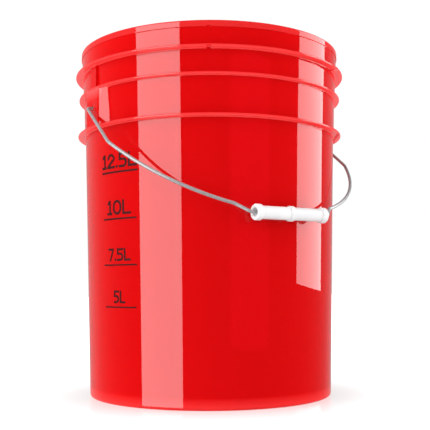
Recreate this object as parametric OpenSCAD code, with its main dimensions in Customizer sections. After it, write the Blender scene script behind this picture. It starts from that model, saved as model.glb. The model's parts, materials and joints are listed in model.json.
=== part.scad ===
// Open-head wash bucket of about 20 litres: one moulded translucent shell with three stacking
// rings and two bail ears, a bent wire bail, a hand grip that turns on the wire, and a printed
// litre scale. Millimetres. +Z is up, the origin is the centre of the foot ring's underside,
// the two ears lie on the X axis, and the bail rests against the wall on the -Y side.

/* [Shell] */
// Overall height of the shell
shell_h = 375; // [360:1:390]
// Outside radius of the wall, extended down to the ground
base_r = 131.6; // [129:0.1:134]
// Draft of the wall, in degrees
draft = 1.467; // [1.3:0.01:1.6]
// Thickness of the wall
wall_t = 2.4; // [2:0.1:3]
// Outside radius of the rounded heel
heel_r = 5; // [3:0.5:6]
// Height of the foot ring under the floor
foot_h = 4; // [3:0.5:5]
// Width of the foot ring
foot_w = 6.5; // [6:0.5:8]
// Thickness of the floor
floor_t = 2.6; // [2:0.1:4]

/* [Rings] */
// Heights of the undersides of the lower, middle and upper ring
ring_z = [281.3, 321.7, 347.5];
// Outside radii of the lower, middle and upper ring
ring_r = [147, 146.1, 150];
// Thickness of a ring
ring_t = 2.1; // [1.8:0.1:2.6]
// Outward step of the wall above each ring
wall_step = 0.75; // [0.4:0.05:1]
// Height of the blend that carries the step on the inside
step_blend = 3; // [2:0.5:4]
// Outside radius of the lip at the mouth
lip_r = 144.1; // [143.5:0.1:145]
// Height of the lip
lip_h = 6.6; // [5:0.1:8]

/* [Ears] */
// Height of the bail axis
ear_z = 302.4; // [300:0.1:305]
// Distance of the ear's flat face from the bucket's axis
ear_face_x = 145.4; // [144.5:0.1:146]
// Half width of the flat face
ear_face_half = 13.2; // [10:0.1:15]
// Half width of the ear at the foot of its ramps
ear_foot_half = 27; // [22:0.1:30]
// Radius of the blind bore for the wire's end
bore_r = 2.4; // [2.2:0.1:3]
// Depth of the blind bore
bore_depth = 6; // [5:0.1:6.4]
// Distance of the stiffening pad's face from the bucket's axis
pad_face_x = 144; // [143.5:0.1:145]
// Half width of the stiffening pad between the upper and middle ring
pad_half = 5.5; // [4:0.5:10]

/* [Drain notches] */
// Angle of the notches from the bail axis
notch_angle = 57; // [30:1:60]
// Width of a notch
notch_w = 5; // [3:0.5:8]
// Height of a notch
notch_h = 1.1; // [0.6:0.1:1.6]

/* [Bail] */
// Diameter of the wire
wire_d = 3.4; // [3:0.1:4]
// Distance of the grip's axis from the bail axis
bail_reach = 184.5; // [184:0.1:186]
// Angle of the bail from straight down when it rests against the wall
rest_angle = 51.6; // [51.5:0.1:58]
// Half length of the straight seat for the grip
seat_half = 45; // [44.5:0.5:46]
// Angle of the jog at each end of the seat
jog_angle = 50; // [45:1:55]
// Length of the straight part of the jog
jog_run = 13.5; // [12.5:0.1:14.5]
// Radius of the tight bends
bend_r = 6; // [5:0.5:7]
// Heading of the wire where the large arc starts
arc_from = 24; // [23:0.5:25]
// Heading of the wire where the large arc ends
arc_to = 68.7; // [68:0.1:69.5]
// Radius of the large arc
arc_r = 173.1; // [172:0.1:174]
// Radius of the kink above each leg
kink_r = 14; // [10:1:20]
// Heading of the straight leg, 90 being square to the bail axis
leg_heading = 92; // [91:0.1:93]
// Radius of the bend into the ear
ear_bend_r = 5; // [4.5:0.1:5.5]
// Gap between the wire's end and the bottom of the bore
tail_gap = 0.5; // [0.3:0.1:1]

/* [Grip] */
// Length of the grip
grip_len = 86; // [80:1:88]
// Radius of the grip's tube
grip_r = 6.4; // [6:0.1:7]
// Radius of the two end collars
collar_r = 7.9; // [7.5:0.1:8]
// Width of an end collar
collar_w = 6; // [5:0.5:8]
// Radius of the middle collar
mid_collar_r = 7.6; // [7.2:0.1:7.6]
// Width of the middle collar
mid_collar_w = 5; // [4:0.5:7]
// Radius of the grip's bore
grip_bore_r = 2.5; // [2.2:0.1:3.4]
// Radius of the bore's mouth at each end
grip_mouth_r = 4.2; // [3.5:0.1:5]

/* [Litre scale] */
// Angle of the scale's centre from the nearer ear
scale_angle = 14.8; // [14:0.1:16]
// Thickness of the ink film
ink_t = 0.2; // [0.1:0.05:0.3]
// Gap left between the ink and the wall
ink_gap = 0.02; // [0.01:0.01:0.05]
// Height of each line above the ground: 5, 7.5, 10 and 12.5 litres
mark_z = [97.3, 139.3, 185.6, 232.8];
// Angular width of each line, in degrees
mark_arc = [19.4, 20.6, 20.6, 22.4];
// Thickness of each line
mark_t = [1.3, 1.4, 1.6, 1.8];
// Height of each line's lettering
text_h = [12.6, 12.6, 14.8, 15];
// Width of each line's lettering
text_w = [16.6, 33, 35.5, 52];
// Gap between a line's centre and the lettering above it
text_gap = 4; // [3:0.1:5]
// Stroke of the lettering, as a share of its height
glyph_stroke = 0.165; // [0.14:0.005:0.18]

/* [Hidden] */
$fn = 96;
floor_top = foot_h + floor_t;
wire_r = wire_d / 2;
run_r = wire_r + 0.02;
bury = 0.2;
bore_end_x = ear_face_x - bore_depth;
ear_bottom = ring_z[0] + ring_t;
mark_words = ["5L", "7.5L", "10L", "12.5L"];
// Everything that is cut or added inside the wall starts at this radius, well inside the cavity.
core_x = 128;
past = 1;

// Outside radius of the plain tapered wall at height z.
function wall_r(z) = base_r + z * tan(draft);
// Points along an arc about c, from angle a to angle b.
function arc_points(c, r, a, b, n = 6) =
    [for (i = [0:n]) c + r * [cos(a + (b - a) * i / n), sin(a + (b - a) * i / n)]];

// ---- shell ----

module shell_outside() {
    edge_r = 1.6;
    rotate_extrude() polygon(concat(
        [[0, 0]],
        arc_points([wall_r(heel_r) - heel_r, heel_r], heel_r, -90, 0),
        [for (i = [0:2]) each [
            [wall_r(ring_z[i]) + i * wall_step, ring_z[i]],
            [ring_r[i], ring_z[i]],
            [ring_r[i], ring_z[i] + ring_t],
            [wall_r(ring_z[i] + ring_t) + (i + 1) * wall_step, ring_z[i] + ring_t]]],
        [[wall_r(shell_h - lip_h) + 3 * wall_step, shell_h - lip_h],
         [lip_r, shell_h - lip_h]],
        arc_points([lip_r - edge_r, shell_h - edge_r], edge_r, 0, 90),
        [[0, shell_h]]));
}

module cavity() {
    inner_heel = 4;
    mouth_edge = 0.8;
    mouth_r = wall_r(shell_h) + 3 * wall_step - wall_t;
    rotate_extrude() polygon(concat(
        [[0, floor_top]],
        arc_points([wall_r(floor_top + inner_heel) - wall_t - inner_heel, floor_top + inner_heel],
                   inner_heel, -90, 0),
        [for (i = [0:2]) each [
            [wall_r(ring_z[i]) + i * wall_step - wall_t, ring_z[i]],
            [wall_r(ring_z[i] + step_blend) + (i + 1) * wall_step - wall_t, ring_z[i] + step_blend]]],
        [[mouth_r, shell_h - mouth_edge],
         [mouth_r + mouth_edge, shell_h],
         [mouth_r + mouth_edge, shell_h + past],
         [0, shell_h + past]]));
}

// Trapezoidal block that carries the bail: a flat face between two lead-in ramps.
module ear() {
    foot_x = sqrt(pow(wall_r(ear_z) + wall_step, 2) - pow(ear_foot_half, 2));
    translate([0, 0, ear_bottom]) linear_extrude(ring_z[1] - ear_bottom)
        polygon([[core_x, -ear_foot_half], [foot_x, -ear_foot_half],
                 [ear_face_x, -ear_face_half], [ear_face_x, ear_face_half],
                 [foot_x, ear_foot_half], [core_x, ear_foot_half]]);
}

module stiffening_pad() {
    bottom = ring_z[1] + ring_t;
    translate([core_x, -pad_half, bottom])
        cube([pad_face_x - core_x, 2 * pad_half, ring_z[2] - bottom]);
}

module ear_bore() {
    translate([bore_end_x, 0, ear_z]) rotate([0, 90, 0])
        cylinder(r = bore_r, h = bore_depth + past);
}

// Small notches in the undersides of the upper ring and the lip let rinse water drain.
module drain_notch(r_from, z) {
    rotate([0, 0, notch_angle]) translate([r_from, -notch_w / 2, z - past])
        cube([lip_r, notch_w, notch_h + past]);
}

// Ribs and gate boss on the recessed underside of the floor.
module underside_ribs() {
    gussets = 24;
    gusset_t = 1.8;
    gusset_run = 13;
    gusset_drop = 2.4;
    rib_radii = [46, 88];
    rib_w = 1.8;
    rib_drop = 1.4;
    gate_r = 9;
    overlap = 0.6;
    foot_inner = base_r - foot_w;
    for (i = [0:gussets - 1]) rotate([0, 0, (i + 0.5) * 360 / gussets])
        translate([foot_inner - gusset_run, -gusset_t / 2, foot_h - gusset_drop])
            cube([gusset_run + overlap, gusset_t, gusset_drop + overlap]);
    for (r = rib_radii) rotate_extrude()
        translate([r, foot_h - rib_drop]) square([rib_w, rib_drop + overlap]);
    translate([0, 0, foot_h - rib_drop]) cylinder(r = gate_r, h = rib_drop + overlap);
}

module bucket_shell() {
    color("red", 0.8) union() {
        difference() {
            union() {
                shell_outside();
                for (side = [0, 180]) rotate([0, 0, side]) {
                    ear();
                    stiffening_pad();
                }
            }
            cavity();
            translate([0, 0, -past]) cylinder(r = base_r - foot_w, h = foot_h + past);
            for (side = [0, 180]) rotate([0, 0, side]) {
                ear_bore();
                for (flip = [0, 1]) mirror([0, flip, 0]) {
                    drain_notch(wall_r(ring_z[2]) + 2 * wall_step + 1, ring_z[2]);
                    drain_notch(wall_r(shell_h) + 3 * wall_step, shell_h - lip_h);
                }
            }
        }
        underside_ribs();
    }
}

// ---- bail ----

// Each step is [length, 0] for a straight run or [radius, turn] for a bend.
// A place is [x, y, heading], and move() gives the place at the end of a step.
function move(at, step) =
    step[1] == 0
        ? [at.x + step[0] * cos(at.z), at.y + step[0] * sin(at.z), at.z]
        : let (k = sign(step[1]), to = at.z + step[1])
          [at.x + k * step[0] * (sin(to) - sin(at.z)),
           at.y - k * step[0] * (cos(to) - cos(at.z)), to];
function walk(at, steps, i = 0) =
    i == len(steps) ? [at] : concat([at], walk(move(at, steps[i]), steps, i + 1));

// Wire laid from the origin along +X, each step starting where the one before it ends.
// The straights are a hair thicker than the bends and reach a little way into them.
module wire_along(steps, i = 0) {
    if (i < len(steps)) {
        step = steps[i];
        reach_on = i < len(steps) - 1 ? bury : 0;
        if (step[1] == 0) {
            translate([-bury, 0, 0]) rotate([0, 90, 0])
                cylinder(r = run_r, h = step[0] + bury + reach_on);
            translate([step[0], 0, 0]) wire_along(steps, i + 1);
        } else {
            side = sign(step[1]) * step[0];
            translate([0, side, 0]) {
                rotate([0, 0, step[1] > 0 ? -90 : 90 + step[1]])
                    rotate_extrude(angle = abs(step[1])) translate([step[0], 0])
                        circle(r = wire_r, $fn = 48);
                rotate([0, 0, step[1]]) translate([0, -side, 0]) wire_along(steps, i + 1);
            }
        }
    }
}

// From the seat's end: the jog, the large arc and the kink, with a short straight between bends.
link = 1;
shoulder = [[bend_r, jog_angle], [jog_run, 0], [bend_r, arc_from - jog_angle], [link, 0],
            [arc_r, arc_to - arc_from], [link, 0], [kink_r, leg_heading - arc_to]];
seat_end = [seat_half, -bail_reach, 0];
leg_top = walk(seat_end, shoulder)[len(shoulder)];
// The leg runs down until its last bend ends on the bail axis, pointing into the bore.
leg_run = (-leg_top.y - ear_bend_r * (1 + cos(leg_heading))) / sin(leg_heading);
leg = [[leg_run, 0], [ear_bend_r, 180 - leg_heading]];
tail_start = walk(leg_top, leg)[len(leg)];
half_bail = concat(shoulder, leg, [[tail_start.x - bore_end_x - tail_gap, 0]]);

// The bail is drawn flat and then swung down to its place against the wall.
module at_bail() {
    translate([0, 0, ear_z]) rotate([90 - rest_angle, 0, 0]) children();
}

module bail_wire() {
    color("silver") at_bail() union() {
        translate([-seat_half - bury, -bail_reach, 0]) rotate([0, 90, 0])
            cylinder(r = run_r, h = 2 * (seat_half + bury));
        for (flip = [0, 1]) mirror([flip, 0, 0])
            translate([seat_half, -bail_reach, 0]) wire_along(half_bail);
    }
}

// ---- grip ----

// A collar with chamfered edges, centred at x.
module collar(x, r, w) {
    edge = 0.8;
    translate([x - w / 2, 0, 0]) rotate([0, 90, 0]) rotate_extrude()
        polygon([[0, 0], [r - edge, 0], [r, edge], [r, w - edge], [r - edge, w], [0, w]]);
}

module bail_grip() {
    mouth_depth = 3;
    color("white") at_bail() translate([0, -bail_reach, 0]) difference() {
        union() {
            translate([-grip_len / 2, 0, 0]) rotate([0, 90, 0]) cylinder(r = grip_r, h = grip_len);
            for (side = [-1, 1]) collar(side * (grip_len - collar_w) / 2, collar_r, collar_w);
            collar(0, mid_collar_r, mid_collar_w);
        }
        translate([-grip_len / 2 - past, 0, 0]) rotate([0, 90, 0])
            cylinder(r = grip_bore_r, h = grip_len + 2 * past);
        for (side = [0, 180]) rotate([0, 0, side])
            translate([grip_len / 2 - mouth_depth, 0, 0]) rotate([0, 90, 0])
                cylinder(r = grip_mouth_r, h = mouth_depth + past);
    }
}

// ---- litre scale ----

// Glyphs are drawn from straight strokes and half rings, h tall and w wide, with stroke s.
module half_ring(r, s, from) {
    intersection() {
        difference() {
            circle(r = r, $fn = 48);
            circle(r = r - s, $fn = 48);
        }
        rotate(from) translate([-r, 0]) square([2 * r, r]);
    }
}

// A slanted stroke with level ends, from its lower left corner a to its upper right corner b.
module slant(a, b, s) {
    level = s * norm([b.x - a.x - s, b.y - a.y]) / (b.y - a.y);
    polygon([a, a + [level, 0], b, b - [level, 0]]);
}

module glyph_0(w, h, s) {
    r = w / 2;
    translate([r, h - r]) half_ring(r, s, 0);
    translate([r, r]) half_ring(r, s, 180);
    for (x = [0, w - s]) translate([x, r]) square([s, h - w]);
}

module glyph_1(w, h, s) {
    flag = 0.3;
    stem_x = 0.44 * w;
    translate([stem_x, 0]) square([s, h]);
    slant([0, h * (1 - flag)], [stem_x + s, h], s);
    square([w, s]);
}

module glyph_2(w, h, s) {
    r = w / 2;
    translate([r, h - r]) half_ring(r, s, 0);
    slant([0, s], [w, h - r], s);
    square([w, s]);
}

module glyph_5(w, h, s) {
    bowl_r = 0.32 * h;
    top = 2 * bowl_r;
    translate([0, h - s]) square([w, s]);
    translate([0, top - s]) square([s, h - top + s]);
    for (y = [0, top - s]) translate([0, y]) square([w - bowl_r, s]);
    translate([w - bowl_r, bowl_r]) half_ring(bowl_r, s, -90);
}

module glyph_7(w, h, s) {
    translate([0, h - s]) square([w, s]);
    slant([0.2 * w, 0], [w, h - s], s);
}

module glyph_l(w, h, s) {
    square([s, h]);
    square([w, s]);
}

module glyph_dot(w, s) {
    dot_r = 0.6 * s;
    translate([w / 2, dot_r]) circle(r = dot_r, $fn = 32);
}

// Width of a character as a share of its height.
function glyph_w(c) =
    c == "." ? 0.2 : c == "1" ? 0.5 : c == "5" ? 0.7 : c == "7" ? 0.68 : c == "L" ? 0.7 : 0.76;

module glyph(c, w, h) {
    s = h * glyph_stroke;
    if (c == "0") glyph_0(w, h, s);
    if (c == "1") glyph_1(w, h, s);
    if (c == "2") glyph_2(w, h, s);
    if (c == "5") glyph_5(w, h, s);
    if (c == "7") glyph_7(w, h, s);
    if (c == "L") glyph_l(w, h, s);
    if (c == ".") glyph_dot(w, s);
}

function sum(v, n) = n == 0 ? 0 : v[n - 1] + sum(v, n - 1);

// A band of ink on the wall between heights z0 and z1, over an angle centred on -X.
module ink_band(z0, z1, arc) {
    rotate([0, 0, 180 - arc / 2]) rotate_extrude(angle = arc) polygon([
        [wall_r(z0) + ink_gap, z0], [wall_r(z0) + ink_gap + ink_t, z0],
        [wall_r(z1) + ink_gap + ink_t, z1], [wall_r(z1) + ink_gap, z1]]);
}

// A word of height h, with its characters widened, to the nearest 0.01, to fill the width w.
module mark_text(word, z, h, w) {
    space = 0.1 * h;
    shares = [for (c = word) glyph_w(c)];
    room = w - space * (len(word) - 1);
    widths = [for (share = shares) round(share * room / sum(shares, len(word)) * 100) / 100];
    r = wall_r(z);
    margin = 3;
    for (i = [0:len(word) - 1]) {
        middle = sum(widths, i) + i * space + widths[i] / 2 - w / 2;
        // Seen from outside, the word reads from the ear's side towards the front.
        rotate([0, 0, middle * 180 / (PI * r)]) intersection() {
            ink_band(z - margin, z + h + margin, 12);
            translate([-r + 10, 0, z]) rotate([90, 0, -90]) linear_extrude(20)
                translate([-widths[i] / 2, 0]) glyph(word[i], widths[i], h);
        }
    }
}

module scale_mark(i) {
    color([0.16, 0.03, 0.04]) rotate([0, 0, scale_angle]) {
        ink_band(mark_z[i] - mark_t[i] / 2, mark_z[i] + mark_t[i] / 2, mark_arc[i]);
        mark_text(mark_words[i], mark_z[i] + text_gap, text_h[i], text_w[i]);
    }
}

bucket_shell();
bail_wire();
bail_grip();
scale_mark(0);  // scale_mark_5l
scale_mark(1);  // scale_mark_7_5l
scale_mark(2);  // scale_mark_10l
scale_mark(3);  // scale_mark_12_5l
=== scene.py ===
import json
import math

import bpy
from mathutils import Matrix, Vector


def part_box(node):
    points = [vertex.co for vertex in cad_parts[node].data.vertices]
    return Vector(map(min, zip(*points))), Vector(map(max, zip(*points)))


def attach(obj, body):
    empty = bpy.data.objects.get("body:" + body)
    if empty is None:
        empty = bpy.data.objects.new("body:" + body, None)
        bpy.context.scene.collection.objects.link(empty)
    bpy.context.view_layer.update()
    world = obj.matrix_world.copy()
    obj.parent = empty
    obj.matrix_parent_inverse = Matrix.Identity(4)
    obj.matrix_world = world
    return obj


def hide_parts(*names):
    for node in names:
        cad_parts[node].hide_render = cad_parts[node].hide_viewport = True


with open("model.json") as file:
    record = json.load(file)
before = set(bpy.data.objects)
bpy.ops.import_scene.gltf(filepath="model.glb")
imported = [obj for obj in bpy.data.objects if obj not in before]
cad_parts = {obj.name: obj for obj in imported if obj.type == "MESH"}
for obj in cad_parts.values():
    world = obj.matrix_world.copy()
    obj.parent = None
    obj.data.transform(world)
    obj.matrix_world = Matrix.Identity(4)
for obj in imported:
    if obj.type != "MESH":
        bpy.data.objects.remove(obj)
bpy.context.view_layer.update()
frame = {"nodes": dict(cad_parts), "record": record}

MM = 0.001

# ---- sizes, in millimetres, as the CAD model has them ----

SHELL_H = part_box("bucket_shell")[1].z / MM
BASE_R = 131.6
TAPER = math.tan(math.radians(1.467))
WALL_T = 2.4
WALL_STEP = 0.75
STEP_BLEND = 3.0
FOOT_H = 4.0
FOOT_R = 125.1
FLOOR_TOP = 6.6
RING_Z = (281.3, 321.7, 347.5)
RING_R = (147.0, 146.1, 150.0)
RING_T = 2.1
LIP_R = 144.1
LIP_Z = SHELL_H - 6.6
EAR_FACE_X = 145.4
EAR_FACE_HALF = 13.2
EAR_FOOT_HALF = 27.0
PAD_X = 144.0
PAD_HALF = 5.5
BORE_R = 2.4
BORE_DEPTH = 6.0
NOTCH_ANGLE = 57.0              # in degrees from the bail's axis
NOTCH_W = 5.0
NOTCH_H = 1.1
NOTCH_R = 146.0                 # radius at which a notch's width is turned into an angle
GUSSETS = 24
GUSSET_R = 112.1
GUSSET_T = 1.8
GUSSET_DROP = 2.4
GUSSET_MID_R = 119.0            # radius at which a gusset's thickness is turned into an angle
RIB_R = (46.0, 88.0)
RIB_W = 1.8
RIB_DROP = 1.4
GATE_R = 9.0
HEEL_PAINTED_LIGHT_H = 12.0              # the painted lighter red of the heel has faded out at this height

JOINTS = {j["name"]: j for j in frame["record"]["behaviour"]["joints"]}
EAR_Z = JOINTS["bail_swing"]["pos_m"][2] / MM
BAIL_REACH = 184.5
REST_ANGLE = math.radians(51.6)
WIRE_R = 1.7
SEAT_HALF = 45.0
GRIP_LEN = 86.0


# ---- helpers ----

def mesh_object(name, verts, faces, material, sharp_deg=40.0):
    """A mesh from points in millimetres, shaded smooth except at edges sharper than sharp_deg."""
    mesh = bpy.data.meshes.new(name)
    mesh.from_pydata([tuple(c * MM for c in v) for v in verts], [], faces)
    mesh.validate()
    mesh.shade_smooth()
    mesh.set_sharp_from_angle(angle=math.radians(sharp_deg))
    mesh.materials.append(material)
    obj = bpy.data.objects.new(name, mesh)
    bpy.context.scene.collection.objects.link(obj)
    return obj


SMALL_CORNER = 0.5
ARC_SHARE = 0.45


def rounded(corners, segs=4, small_segs=2, hold=0.3):
    """Corner points (x, y, radius) to a polyline with each corner rounded.

    A support point on each side of every arc keeps the smooth shading of the long faces true.
    Small corners have none and take fewer steps. An arc that has too little room for its radius
    is made smaller, so that it takes up at most ARC_SHARE of the shorter side.
    """
    out = []
    last = len(corners) - 1
    for i, (x, y, radius) in enumerate(corners):
        if radius == 0 or i in (0, last):
            out.append((x, y))
            continue
        p = Vector((x, y))
        a = Vector(corners[i - 1][:2]) - p
        b = Vector(corners[i + 1][:2]) - p
        turn = math.pi - a.angle(b)
        shorter = min(a.length, b.length)
        run = min(radius * math.tan(turn / 2), ARC_SHARE * shorter)
        r = run / math.tan(turn / 2)
        gap = min(hold, 0.5 * (0.5 * shorter - run))
        a.normalize()
        b.normalize()
        centre = p + (a + b).normalized() * math.hypot(r, run)
        start = p + a * run - centre
        side = 1 if a.x * b.y - a.y * b.x < 0 else -1
        large = radius > SMALL_CORNER
        steps = segs if large else small_segs
        if large:
            out.append(tuple(p + a * (run + gap)))
        for k in range(steps + 1):
            angle = side * turn * k / steps
            c, s = math.cos(angle), math.sin(angle)
            out.append((centre.x + start.x * c - start.y * s,
                        centre.y + start.x * s + start.y * c))
        if large:
            out.append(tuple(p + b * (run + gap)))
    return out


def smooth_max(a, b, k):
    """The larger value, with a smooth change from one to the other where they are within k."""
    h = max(k - abs(a - b), 0.0) / k
    return max(a, b) + h * h * k / 4


def apart(a, b):
    """How far two angles are apart, in degrees."""
    return abs((a - b + 180) % 360 - 180)


def wall_r(z):
    """Outside radius of the plain wall at a height, before the steps at the rings."""
    return BASE_R + z * TAPER


# ---- shell ----

EAR_SPAN = math.radians(20)
EAR_EDGE_BLEND = 0.35
EAR_ROOT_BLEND = 0.6


def ear_radius(e):
    """Outside radius of the ear block at an angle e from the ear's middle.

    The block has a flat face with a flat ramp on each side of it, down to its foot at the wall.
    """
    if abs(e) > EAR_SPAN:
        return 0.0
    c, s = math.cos(e), abs(math.sin(e))
    foot_x = math.sqrt((wall_r(EAR_Z) + WALL_STEP) ** 2 - EAR_FOOT_HALF ** 2)
    ramp_x, ramp_y = EAR_FOOT_HALF - EAR_FACE_HALF, EAR_FACE_X - foot_x
    face = EAR_FACE_X / c
    ramp = (ramp_x * EAR_FACE_X + ramp_y * EAR_FACE_HALF) / (ramp_x * c + ramp_y * s)
    return -smooth_max(-face, -ramp, EAR_EDGE_BLEND)


BORE_ROWS = [EAR_Z + d for d in (-8, -5.2, -2.6, 0, 2.6, 5.2, 8)]
BORE_HALF_DEG = 3.05            # the grid is left open this far to each side of a bore
PAD_EDGE_DEG = math.degrees(math.atan(PAD_HALF / PAD_X)) + 0.1      # just past the pad's side


def column_outline(e, theta):
    """The shell's section at one angle: underside, outside, mouth, inside and floor.

    e is the angle from the nearer ear and theta the angle from +X. The third value of each point
    is its corner's radius, as `rounded` takes it.
    """
    deg = abs(math.degrees(e))
    gusset = 0.0
    spacing = 2 * math.pi / GUSSETS
    off = (theta - spacing / 2 + math.pi) % spacing
    if min(off, spacing - off) * GUSSET_MID_R < GUSSET_T / 2:
        gusset = GUSSET_DROP
    notch = NOTCH_H if abs(deg - NOTCH_ANGLE) * math.radians(NOTCH_R) < NOTCH_W / 2 else 0.0
    z_rib = FOOT_H - RIB_DROP
    slope = 0.2
    pts = [(0, z_rib, 0), (GATE_R, z_rib, 0.5), (GATE_R + 0.3, FOOT_H, 0.4)]
    for r in RIB_R:
        pts += [(r - slope, FOOT_H, 0.3), (r, z_rib, 0.4), (r + RIB_W, z_rib, 0.4),
                (r + RIB_W + slope, FOOT_H, 0.3)]
    pts += [(GUSSET_R - 0.3, FOOT_H, 0), (GUSSET_R, FOOT_H - gusset, 0),
            (FOOT_R, FOOT_H - gusset, 0.6), (FOOT_R, 0, 0.9), (BASE_R, 0, 5.0),
            (wall_r(HEEL_PAINTED_LIGHT_H), HEEL_PAINTED_LIGHT_H, 0)]
    pad = PAD_X / math.cos(e) if deg < PAD_EDGE_DEG else 0.0
    for i, (z, ring) in enumerate(zip(RING_Z, RING_R)):
        top = z + RING_T
        cut = notch if i == 2 else 0.0
        low = wall_r(z) + i * WALL_STEP
        high = wall_r(top) + (i + 1) * WALL_STEP
        if i == 1:
            low = smooth_max(low, ear_radius(e), EAR_ROOT_BLEND)
            high = max(high, pad)
        if i == 2:
            low = max(low, pad)
        if i == 0:
            high = smooth_max(high, ear_radius(e), EAR_ROOT_BLEND)
        pts += [(low, z + cut, 1.0), (ring, z + cut, 0.7), (ring, top, 0.9), (high, top, 1.2)]
        if i == 0:
            for row in BORE_ROWS:
                wall = wall_r(row) + WALL_STEP
                pts.append((smooth_max(wall, ear_radius(e), EAR_ROOT_BLEND), row, 0))
    pts += [(wall_r(LIP_Z) + 3 * WALL_STEP, LIP_Z + notch, 1.0), (LIP_R, LIP_Z + notch, 0.9),
            (LIP_R, SHELL_H, 2.0)]
    inner = 3 * WALL_STEP - WALL_T
    pts.append((wall_r(SHELL_H) + inner, SHELL_H, 1.2))
    for i in (2, 1, 0):
        z = RING_Z[i]
        above = z + STEP_BLEND
        pts += [(wall_r(above) + (i + 1) * WALL_STEP - WALL_T, above, 8.0),
                (wall_r(z) + i * WALL_STEP - WALL_T, z, 8.0)]
    pts += [(wall_r(FLOOR_TOP) - WALL_T, FLOOR_TOP, 5.0), (0, FLOOR_TOP, 0)]
    return pts


def column_angles():
    """Angles of the shell's columns, in degrees.

    They are even all round, closer at the ears, and in pairs at the edges of pads, notches and
    gussets, where the section changes from one column to the next.
    """
    even = 240
    angles = {round(360 * i / even, 4) for i in range(even)}
    fine = 0.4
    reach = 12.6
    notch_half = math.degrees(NOTCH_W / 2 / NOTCH_R)
    edge = 0.06
    clear = 0.15
    for ear in (0, 180):
        angles = {a for a in angles if apart(a, ear) > reach}
        n = int(reach / fine)
        angles |= {round((ear + k * fine) % 360, 4) for k in range(-n, n + 1)}
        for sign in (-1, 1):
            for e in (PAD_EDGE_DEG, NOTCH_ANGLE - notch_half, NOTCH_ANGLE + notch_half):
                angles = {a for a in angles if apart(a - ear, sign * e) > clear}
                angles |= {round((ear + sign * (e + d)) % 360, 4) for d in (-edge, edge)}
    gusset_half = math.degrees(GUSSET_T / 2 / GUSSET_MID_R)
    for g in range(GUSSETS):
        for e in (-gusset_half, gusset_half):
            at = (g + 0.5) * 360 / GUSSETS + e
            angles |= {round((at + d) % 360, 4) for d in (-edge, edge)}
    return sorted(angles)


# Strengths of the painted light that the mesh stores at ring edges, lip and heel, for light
# carried inside the plastic, which isn't simulated.
RING_PAINTED_LIGHT = 1.0
RING_TOP_PAINTED_LIGHT = 0.5
RING_TOP_FADE = 0.2             # over one ring thickness
LIP_PAINTED_LIGHT = 0.25
HEEL_PAINTED_LIGHT = 0.42
HEEL_FADE = 0.025               # per millimetre of height
HEEL_BAND = FOOT_H + 1.4


def painted_edge_light(r, z):
    """Painted light: how much lighter the plastic is painted here, for the light that rings, lip
    and heel gather at their edges.

    t is the height within a ring: 0 at its underside and 1 at its top. The painted light is
    strongest on a ring's underside, which lies higher in a drain notch, and weaker on its edge and
    top.
    """
    wall = wall_r(z)
    if z < HEEL_BAND and r > FOOT_R:
        return HEEL_PAINTED_LIGHT - HEEL_FADE * z
    if z > LIP_Z - 0.5:
        return LIP_PAINTED_LIGHT if r > wall + 3 * WALL_STEP + 0.4 else 0.0
    for i, (low, ring) in enumerate(zip(RING_Z, RING_R)):
        t = (z - low) / RING_T
        root = wall + i * WALL_STEP
        under = -0.45 < t < 0.1 and r > root + 0.1
        in_notch = 0.1 <= t < 0.6 and root + 0.3 < r < ring - 0.5
        if under or in_notch:
            return RING_PAINTED_LIGHT
        if 0.1 <= t < 1.15 and r > root + WALL_STEP + 0.5:
            return RING_TOP_PAINTED_LIGHT - RING_TOP_FADE * t
    return 0.0


def add_bore(verts, faces, loop, side):
    """Adds a blind bore for the wire's end, joined to a loop of points on the ear's face."""
    rim = ((BORE_R + 0.4, 0.0), (BORE_R + 0.1, 0.1), (BORE_R, 0.4), (BORE_R, BORE_DEPTH - 0.3),
           (BORE_R - 0.3, BORE_DEPTH))
    previous = loop
    for radius, depth in rim:
        ring = []
        for v in loop:
            across, up = verts[v][1] * side, verts[v][2] - EAR_Z
            k = radius / math.hypot(across, up)
            ring.append(len(verts))
            verts.append((side * (EAR_FACE_X - depth), side * across * k, EAR_Z + up * k))
        for a in range(len(loop)):
            b = (a + 1) % len(loop)
            faces.append((previous[a], previous[b], ring[b], ring[a]))
        previous = ring
    faces.append(tuple(previous))


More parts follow.
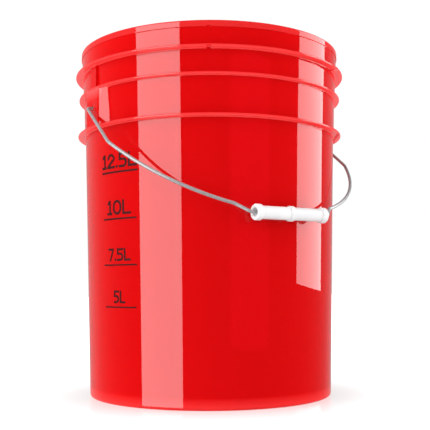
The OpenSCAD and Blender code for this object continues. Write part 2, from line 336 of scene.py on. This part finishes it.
def make_shell(material):
    """The pail as one closed mesh: a column of points at every angle, and a bore in each ear."""
    angles = column_angles()
    columns = []
    for deg in angles:
        theta = math.radians(deg)
        e = (theta + math.pi / 2) % math.pi - math.pi / 2
        columns.append(rounded(column_outline(e, theta)))
    verts, faces = [], []
    for deg, col in zip(angles, columns):
        c, s = math.cos(math.radians(deg)), math.sin(math.radians(deg))
        verts += [(r * c, r * s, z) for r, z in col[1:-1]]
    rows = len(columns[0]) - 2
    under_centre, floor_centre = len(verts), len(verts) + 1
    verts += [(0, 0, columns[0][0][1]), (0, 0, columns[0][-1][1])]
    n = len(angles)
    first = next(i for i, p in enumerate(columns[0][1:-1]) if abs(p[1] - BORE_ROWS[0]) < 1e-6)
    last = first + len(BORE_ROWS) - 1

    def vert(col, row):
        return (col % n) * rows + row

    def in_bore(deg):
        return abs((deg + 90) % 180 - 90) < BORE_HALF_DEG

    for i in range(n):
        j = (i + 1) % n
        hole = in_bore(angles[i]) and in_bore(angles[j])
        for k in range(rows - 1):
            if hole and first <= k < last:
                continue
            faces.append((vert(i, k), vert(j, k), vert(j, k + 1), vert(i, k + 1)))
        faces.append((under_centre, vert(j, 0), vert(i, 0)))
        faces.append((floor_centre, vert(i, rows - 1), vert(j, rows - 1)))

    for ear, side in ((0, 1), (180, -1)):
        cols = [i for i in range(n) if apart(angles[i], ear) < BORE_HALF_DEG]
        cols.sort(key=lambda i: (angles[i] - ear + 180) % 360)
        loop = [vert(i, first) for i in cols]
        loop += [vert(cols[-1], r) for r in range(first + 1, last)]
        loop += [vert(i, last) for i in reversed(cols)]
        loop += [vert(cols[0], r) for r in range(last - 1, first, -1)]
        add_bore(verts, faces, loop, side)
    shell = mesh_object("pail_shell", verts, faces, material)
    # Stores the painted edge light of rings, lip and heel in the mesh.
    painted_glow = shell.data.attributes.new("painted_glow", "FLOAT", "POINT")
    painted_glow.data.foreach_set("value", [painted_edge_light(math.hypot(x, y), z) for x, y, z in verts])
    return shell


# ---- bail ----

def bail_path():
    """Half of the wire's centre line in the bail's plane: along the ear axis, and away from it."""
    jog, arc_from, arc_to, leg = (math.radians(a) for a in (50, 24, 68.7, 92))
    bend, arc, kink, ear_bend = 6.0, 173.1, 14.0, 5.0
    shoulder, link, tail_gap = 13.5, 1.0, 0.5
    u, w, at = SEAT_HALF, BAIL_REACH, 0.0
    seat_steps = 8
    pts = [(u * k / seat_steps, w) for k in range(seat_steps + 1)]

    def turn(radius, to, step):
        """A bend to a heading, with its points about a step apart."""
        nonlocal u, w, at
        k = 1 if to > at else -1
        n = max(3, round(radius * abs(to - at) / step))
        u0, w0, a0 = u, w, at
        for i in range(1, n + 1):
            a = a0 + (to - a0) * i / n
            u = u0 + k * radius * (math.sin(a) - math.sin(a0))
            w = w0 + k * radius * (math.cos(a) - math.cos(a0))
            pts.append((u, w))
        at = to

    def run(length, n):
        """A straight of n pieces."""
        nonlocal u, w
        for _ in range(n):
            u += length / n * math.cos(at)
            w -= length / n * math.sin(at)
            pts.append((u, w))

    turn(bend, jog, 0.7)
    run(shoulder, 6)
    turn(bend, arc_from, 0.7)
    run(link, 1)
    turn(arc, arc_to, 2.5)
    run(link, 1)
    turn(kink, leg, 0.8)
    run((w - ear_bend * (1 + math.cos(leg))) / math.sin(leg), 24)
    turn(ear_bend, math.pi, 0.6)
    run(u - (EAR_FACE_X - BORE_DEPTH + tail_gap), 4)
    return pts


def in_bail_plane(u, w, lift=0.0):
    """A point of the bail's plane in the row frame, with lift square to that plane."""
    s, c = math.sin(REST_ANGLE), math.cos(REST_ANGLE)
    return (u, -w * s - lift * c, EAR_Z - w * c + lift * s)


def make_wire(material):
    """A round wire along the whole path, slightly thinner at its two cut ends."""
    half = bail_path()
    path = [(-u, w) for u, w in reversed(half[1:])] + half
    sides = 20
    verts, faces = [], []
    last = len(path) - 1
    tip_r, next_r = 1.4, 1.6
    ends = {0: tip_r, 1: next_r, last - 1: next_r, last: tip_r}
    for i, (u, w) in enumerate(path):
        a, b = path[max(i - 1, 0)], path[min(i + 1, last)]
        d = Vector((b[0] - a[0], b[1] - a[1])).normalized()
        r = ends.get(i, WIRE_R)
        for k in range(sides):
            angle = 2 * math.pi * k / sides
            across, lift = r * math.cos(angle), r * math.sin(angle)
            verts.append(in_bail_plane(u - d.y * across, w + d.x * across, lift))
    for i in range(last):
        for k in range(sides):
            m = (k + 1) % sides
            faces.append((i * sides + k, (i + 1) * sides + k, (i + 1) * sides + m, i * sides + m))
    faces.append(tuple(range(sides)))
    faces.append(tuple(reversed(range(last * sides, (last + 1) * sides))))
    return mesh_object("bail_wire_bent", verts, faces, material, 50)


# ---- grip ----

def make_grip(material):
    """A tube round the wire's seat, with collars, a band in its middle and a parting line."""
    half = GRIP_LEN / 2
    collar_r, collar_w, tube_r = 7.9, 6.0, 6.4
    mid_r, mid_half = 7.6, 2.5
    bore_r, mouth_r, mouth_depth = 2.5, 4.2, 3.0
    right = [(0, mid_r, 0), (mid_half, mid_r, 1.0), (mid_half, tube_r, 0.7),
             (half - collar_w, tube_r, 0.7), (half - collar_w, collar_r, 0.9),
             (half, collar_r, 1.1), (half, mouth_r, 0.5), (half - mouth_depth, mouth_r, 0.4),
             (half - mouth_depth, bore_r, 0.4), (0, bore_r, 0)]
    line = rounded(right)
    line = [(-x, r) for x, r in reversed(line[1:-1])] + line
    sides = 96
    seam, outside = 0.14, tube_r - 0.2
    verts, faces = [], []
    _, seat_y, seat_z = in_bail_plane(0, BAIL_REACH)
    for k in range(sides):
        angle = 2 * math.pi * k / sides
        proud = seam if k in (0, sides // 2) else 0.0
        for x, r in line:
            rr = r + (proud if r > outside else 0.0)
            verts.append((x, seat_y + rr * math.cos(angle), seat_z + rr * math.sin(angle)))
    n = len(line)
    for k in range(sides):
        m = (k + 1) % sides
        for i in range(n):
            j = (i + 1) % n
            faces.append((k * n + i, k * n + j, m * n + j, m * n + i))
    return mesh_object("grip_tube", verts, faces, material)


# ---- materials ----

def new_material(name):
    """A material with its nodes, links and Principled shader at hand."""
    mat = bpy.data.materials.new(name)
    mat.use_nodes = True
    nodes = mat.node_tree.nodes
    return mat, nodes, mat.node_tree.links, nodes["Principled BSDF"]


def noise(nodes, links, coords, scale, detail, stretch=None):
    """A noise pattern in the object's own coordinates, stretched along its axes if asked."""
    tex = nodes.new("ShaderNodeTexNoise")
    tex.inputs["Scale"].default_value = scale
    tex.inputs["Detail"].default_value = detail
    source = coords
    if stretch:
        mapping = nodes.new("ShaderNodeMapping")
        mapping.inputs["Scale"].default_value = stretch
        links.new(coords, mapping.inputs["Vector"])
        source = mapping.outputs["Vector"]
    links.new(source, tex.inputs["Vector"])
    return tex.outputs["Fac"]


def spread(nodes, links, fac, low, high, to_low, to_high):
    """Maps one range of a factor on to another range of values."""
    node = nodes.new("ShaderNodeMapRange")
    for name, value in (("From Min", low), ("From Max", high),
                        ("To Min", to_low), ("To Max", to_high)):
        node.inputs[name].default_value = value
    links.new(fac, node.inputs["Value"])
    return node.outputs["Result"]


def mixed(nodes, links, fac, a, b, blend="MIX"):
    """Two colours mixed. The factor and each colour is a value or another node's output."""
    mix = nodes.new("ShaderNodeMix")
    mix.data_type = "RGBA"
    mix.blend_type = blend
    for socket, value in ((mix.inputs[0], fac), (mix.inputs[6], a), (mix.inputs[7], b)):
        if isinstance(value, bpy.types.NodeSocket):
            links.new(value, socket)
        else:
            socket.default_value = (*value, 1) if isinstance(value, tuple) else value
    return mix.outputs[2]


def two_tone(nodes, links, pattern, a, b):
    """A colour that wanders between two tones with a noise pattern."""
    return mixed(nodes, links, spread(nodes, links, pattern, 0.35, 0.65, 0, 1), a, b)


def colour_ramp(nodes, links, fac, stops):
    """A colour by a factor, from stops of (position, colour)."""
    ramp = nodes.new("ShaderNodeValToRGB")
    while len(ramp.color_ramp.elements) < len(stops):
        ramp.color_ramp.elements.new(0.5)
    for element, (pos, colour) in zip(ramp.color_ramp.elements, stops):
        element.position = pos
        element.color = (*colour, 1)
    links.new(fac, ramp.inputs["Fac"])
    return ramp.outputs["Color"]


def bump(nodes, links, height, strength, distance):
    node = nodes.new("ShaderNodeBump")
    node.inputs["Strength"].default_value = strength
    node.inputs["Distance"].default_value = distance
    links.new(height, node.inputs["Height"])
    return node.outputs["Normal"]


def object_coords(nodes):
    return nodes.new("ShaderNodeTexCoord").outputs["Object"]


def shell_material():
    """Glossy red plastic that lets light through: what reaches the wall leaves on both sides.

    Its red is painted light and shade by height: lightest at the heel and a little darker higher
    up. It changes a little with the melt's flow, and is painted a lighter pink red where the mesh
    stores painted edge light.
    """
    mat, nodes, links, bsdf = new_material("red_translucent_plastic")
    at = object_coords(nodes)
    place = nodes.new("ShaderNodeSeparateXYZ")
    links.new(at, place.inputs[0])
    height = spread(nodes, links, place.outputs["Z"], 0, SHELL_H * MM, 0, 1)
    # Painted light and shade: the red is lightest at the heel, for light carried inside the thick
    # plastic, and a little darker higher up, to even out the light along the wall.
    red = colour_ramp(nodes, links, height,
                      ((0.0, (0.480, 0.0021, 0.0028)), (0.035, (0.360, 0.0020, 0.0027)),
                       (0.15, (0.343, 0.0018, 0.0024)), (0.42, (0.325, 0.0017, 0.0022)),
                       (0.85, (0.330, 0.0017, 0.0022)), (1.0, (0.320, 0.0017, 0.0022))))
    flow = noise(nodes, links, at, 9, 3, (1, 1, 0.35))
    cloud = two_tone(nodes, links, flow, (0.97, 0.88, 0.88), (1.0, 1.0, 1.0))
    clouded = mixed(nodes, links, 1.0, red, cloud, "MULTIPLY")
    # Painted light and painted reflection: a lighter pink red wherever the mesh stores painted
    # edge light.
    painted_glow = nodes.new("ShaderNodeAttribute")
    painted_glow.attribute_name = "painted_glow"
    tone = mixed(nodes, links, painted_glow.outputs["Fac"], clouded, (0.48, 0.056, 0.056))
    links.new(tone, bsdf.inputs["Base Color"])
    grain = noise(nodes, links, at, 240, 4)
    links.new(spread(nodes, links, grain, 0.3, 0.7, 0.30, 0.38), bsdf.inputs["Roughness"])
    bsdf.inputs["Specular IOR Level"].default_value = 0.0
    bsdf.inputs["Coat Weight"].default_value = 1.0
    bsdf.inputs["Coat Roughness"].default_value = 0.01
    bsdf.inputs["Coat IOR"].default_value = 1.5
    through = nodes.new("ShaderNodeBsdfTranslucent")
    links.new(tone, through.inputs["Color"])
    both = nodes.new("ShaderNodeAddShader")
    links.new(bsdf.outputs[0], both.inputs[0])
    links.new(through.outputs[0], both.inputs[1])
    links.new(both.outputs[0], nodes["Material Output"].inputs["Surface"])
    return mat


def wire_material():
    """Bright galvanised steel with the fine grain of its zinc."""
    mat, nodes, links, bsdf = new_material("galvanised_wire")
    at = object_coords(nodes)
    spangle = noise(nodes, links, at, 700, 5)
    links.new(two_tone(nodes, links, spangle, (0.28, 0.28, 0.285), (0.36, 0.36, 0.365)),
              bsdf.inputs["Base Color"])
    links.new(spread(nodes, links, spangle, 0.3, 0.7, 0.26, 0.38), bsdf.inputs["Roughness"])
    bsdf.inputs["Metallic"].default_value = 0.4
    links.new(bump(nodes, links, spangle, 0.15, 0.00005), bsdf.inputs["Normal"])
    return mat


def grip_material():
    """Satin white plastic."""
    mat, nodes, links, bsdf = new_material("white_plastic")
    at = object_coords(nodes)
    grain = noise(nodes, links, at, 900, 4)
    cloud = noise(nodes, links, at, 40, 3)
    links.new(two_tone(nodes, links, cloud, (0.53, 0.53, 0.54), (0.58, 0.58, 0.58)),
              bsdf.inputs["Base Color"])
    links.new(spread(nodes, links, grain, 0.3, 0.7, 0.28, 0.40), bsdf.inputs["Roughness"])
    links.new(bump(nodes, links, grain, 0.15, 0.00008), bsdf.inputs["Normal"])
    return mat


def ink_material():
    """Dark screen printed ink with hardly any shine."""
    mat, nodes, links, bsdf = new_material("scale_ink")
    at = object_coords(nodes)
    grain = noise(nodes, links, at, 1200, 4)
    links.new(two_tone(nodes, links, grain, (0.034, 0.004, 0.005), (0.046, 0.007, 0.008)),
              bsdf.inputs["Base Color"])
    links.new(spread(nodes, links, grain, 0.3, 0.7, 0.30, 0.45), bsdf.inputs["Roughness"])
    bsdf.inputs["Specular IOR Level"].default_value = 0.05
    return mat


# ---- build ----

shell = make_shell(shell_material())
wire = make_wire(wire_material())
grip = make_grip(grip_material())
ink = ink_material()
for node_name in ("scale_mark_5l", "scale_mark_7_5l", "scale_mark_10l", "scale_mark_12_5l"):
    mark = frame["nodes"][node_name]
    mark.data.materials.clear()
    mark.data.materials.append(ink)

for piece, body, node_name, slot_name in ((shell, "pail", "bucket_shell", "shell"),
                                          (wire, "bail", "bail_wire", "bail"),
                                          (grip, "grip", "bail_grip", "grip")):
    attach(piece, body)
    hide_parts(node_name)


# ---- studio ----

VIEW_TURN = math.radians(33)          # the bail axis is turned this far from square to the camera


def studio_point(right, away, up):
    """A point given from the camera's side: to its right, away from it, and up, in metres."""
    c, s = math.cos(VIEW_TURN), math.sin(VIEW_TURN)
    return Vector((right * c + away * s, -right * s + away * c, up))


def panel(name, start, end, low, high, power, colour=(1, 1, 1)):
    """An upright soft panel between two floor points, seen only in reflections."""
    a, b = studio_point(*start, 0), studio_point(*end, 0)
    centre = (a + b) / 2 + Vector((0, 0, (low + high) / 2))
    along = (b - a).normalized()
    facing = Vector((0, 0, 1)).cross(along).normalized()
    if facing.dot(-centre) < 0:
        facing = -facing
    light = bpy.data.lights.new(name, "AREA")
    light.shape = "RECTANGLE"
    light.size, light.size_y = (b - a).length, high - low
    light.energy = power * light.size * light.size_y * math.pi
    light.color = colour
    obj = bpy.data.objects.new(name, light)
    axis_z = -facing
    axis_y = Vector((0, 0, 1))
    axis_x = axis_y.cross(axis_z)
    axes = Matrix((axis_x, axis_y, axis_z)).transposed()
    obj.matrix_world = Matrix.Translation(centre) @ axes.to_4x4()
    obj.visible_camera = False
    obj.visible_diffuse = False
    obj.visible_transmission = False
    bpy.context.scene.collection.objects.link(obj)


def ramp_on_direction(nodes, links, direction, stops):
    """Greys by how far a ray leans towards a direction: 0 is straight away from it, 1 along it."""
    coords = nodes.new("ShaderNodeTexCoord")
    dot = nodes.new("ShaderNodeVectorMath")
    dot.operation = "DOT_PRODUCT"
    dot.inputs[1].default_value = direction
    half = nodes.new("ShaderNodeMath")
    half.operation = "MULTIPLY_ADD"
    half.inputs[1].default_value = 0.5
    half.inputs[2].default_value = 0.5
    links.new(coords.outputs["Generated"], dot.inputs[0])
    links.new(dot.outputs["Value"], half.inputs[0])
    greys = [(pos, (value, value, value)) for pos, value in stops]
    return colour_ramp(nodes, links, half.outputs[0], greys)


def make_world():
    """White light from all round, with more of it from the left and from the right.

    Reflections see a dark room instead, which grows lighter behind the pail.
    """
    world = bpy.data.worlds.new("studio")
    bpy.context.scene.world = world
    world.use_nodes = True
    nodes, links = world.node_tree.nodes, world.node_tree.links
    nodes.clear()
    out = nodes.new("ShaderNodeOutputWorld")
    white = nodes.new("ShaderNodeBackground")
    even_and_left = ramp_on_direction(nodes, links, studio_point(-0.966, -0.259, 0),
                                      ((0.0, 0.303), (0.60, 0.303), (0.80, 0.74), (1.0, 1.6)))
    right = ramp_on_direction(nodes, links, studio_point(0.985, 0.174, 0),
                              ((0.0, 0.0), (0.78, 0.0), (1.0, 1.4)))
    total = nodes.new("ShaderNodeVectorMath")
    total.operation = "ADD"
    links.new(even_and_left, total.inputs[0])
    links.new(right, total.inputs[1])
    links.new(total.outputs[0], white.inputs["Color"])
    white.inputs["Strength"].default_value = 3.35
    dark = nodes.new("ShaderNodeBackground")
    room = ramp_on_direction(nodes, links, studio_point(-0.139, 0.99, 0),
                             ((0.0, 0.02), (0.30, 0.03), (0.465, 0.055), (0.55, 0.08),
                              (0.63, 0.115), (0.70, 0.15), (0.757, 0.19), (0.82, 0.25),
                              (0.872, 0.32), (0.91, 0.37), (1.0, 0.40)))
    links.new(room, dark.inputs["Color"])
    mix = nodes.new("ShaderNodeMixShader")
    path = nodes.new("ShaderNodeLightPath")
    links.new(path.outputs["Is Glossy Ray"], mix.inputs[0])
    links.new(white.outputs[0], mix.inputs[1])
    links.new(dark.outputs[0], mix.inputs[2])
    links.new(mix.outputs[0], out.inputs["Surface"])


def floor_material():
    """White, with a reflection round the base that fades outwards."""
    mat, nodes, links, bsdf = new_material("studio_floor")
    bsdf.inputs["Base Color"].default_value = (0.35, 0.35, 0.35, 1)
    bsdf.inputs["Roughness"].default_value = 0.9
    bsdf.inputs["Specular IOR Level"].default_value = 0.0
    bsdf.inputs["Emission Color"].default_value = (1, 1, 1, 1)
    bsdf.inputs["Emission Strength"].default_value = 1.05
    gloss = nodes.new("ShaderNodeBsdfGlossy")
    gloss.inputs["Roughness"].default_value = 0.06
    at = object_coords(nodes)
    length = nodes.new("ShaderNodeVectorMath")
    length.operation = "LENGTH"
    links.new(at, length.inputs[0])
    from_r, to_r, strongest = 0.13, 0.28, 0.54
    fade = spread(nodes, links, length.outputs["Value"], from_r, to_r, strongest, 0.0)
    mix = nodes.new("ShaderNodeMixShader")
    links.new(fade, mix.inputs[0])
    links.new(bsdf.outputs[0], mix.inputs[1])
    links.new(gloss.outputs[0], mix.inputs[2])
    links.new(mix.outputs[0], nodes["Material Output"].inputs["Surface"])
    return mat


def make_floor():
    half = 6000
    corners = [(-half, -half, 0), (half, -half, 0), (half, half, 0), (-half, half, 0)]
    floor = mesh_object("studio_floor", corners, [(0, 1, 2, 3)], floor_material())
    floor.visible_glossy = False


def make_camera():
    """A low camera in front of the pail, looking slightly up at it."""
    distance, height = 0.9027, 0.1202
    focal_px, frame_px = 803.7, 430
    pitch, roll = math.radians(4.885), math.radians(-0.27)
    cam = bpy.data.cameras.new("camera")
    cam.sensor_width = 36
    cam.lens = focal_px / frame_px * cam.sensor_width
    cam.shift_x = 5.2 / frame_px
    cam.clip_start, cam.clip_end = 0.05, 50
    obj = bpy.data.objects.new("camera", cam)
    obj.location = studio_point(0, -distance, height)
    turned = (Matrix.Rotation(-VIEW_TURN, 3, "Z") @ Matrix.Rotation(math.pi / 2 + pitch, 3, "X")
              @ Matrix.Rotation(roll, 3, "Z"))
    obj.rotation_euler = turned.to_euler()
    bpy.context.scene.collection.objects.link(obj)
    bpy.context.scene.camera = obj


make_world()
make_floor()
panel("left_panel", start=(-1.160, -0.617), end=(-0.534, -1.221), low=-0.45, high=1.1, power=4.9)
panel("right_panel", start=(1.281, -0.217), end=(1.086, 0.565), low=0.077, high=1.1, power=4.3)
panel("red_panel", start=(0.38, -1.243), end=(1.01, -0.818), low=-0.09, high=0.61, power=1.4,
      colour=(1.0, 0.01, 0.03))
make_camera()

view = bpy.context.scene.view_settings
view.view_transform = "Standard"
view.look = "None"
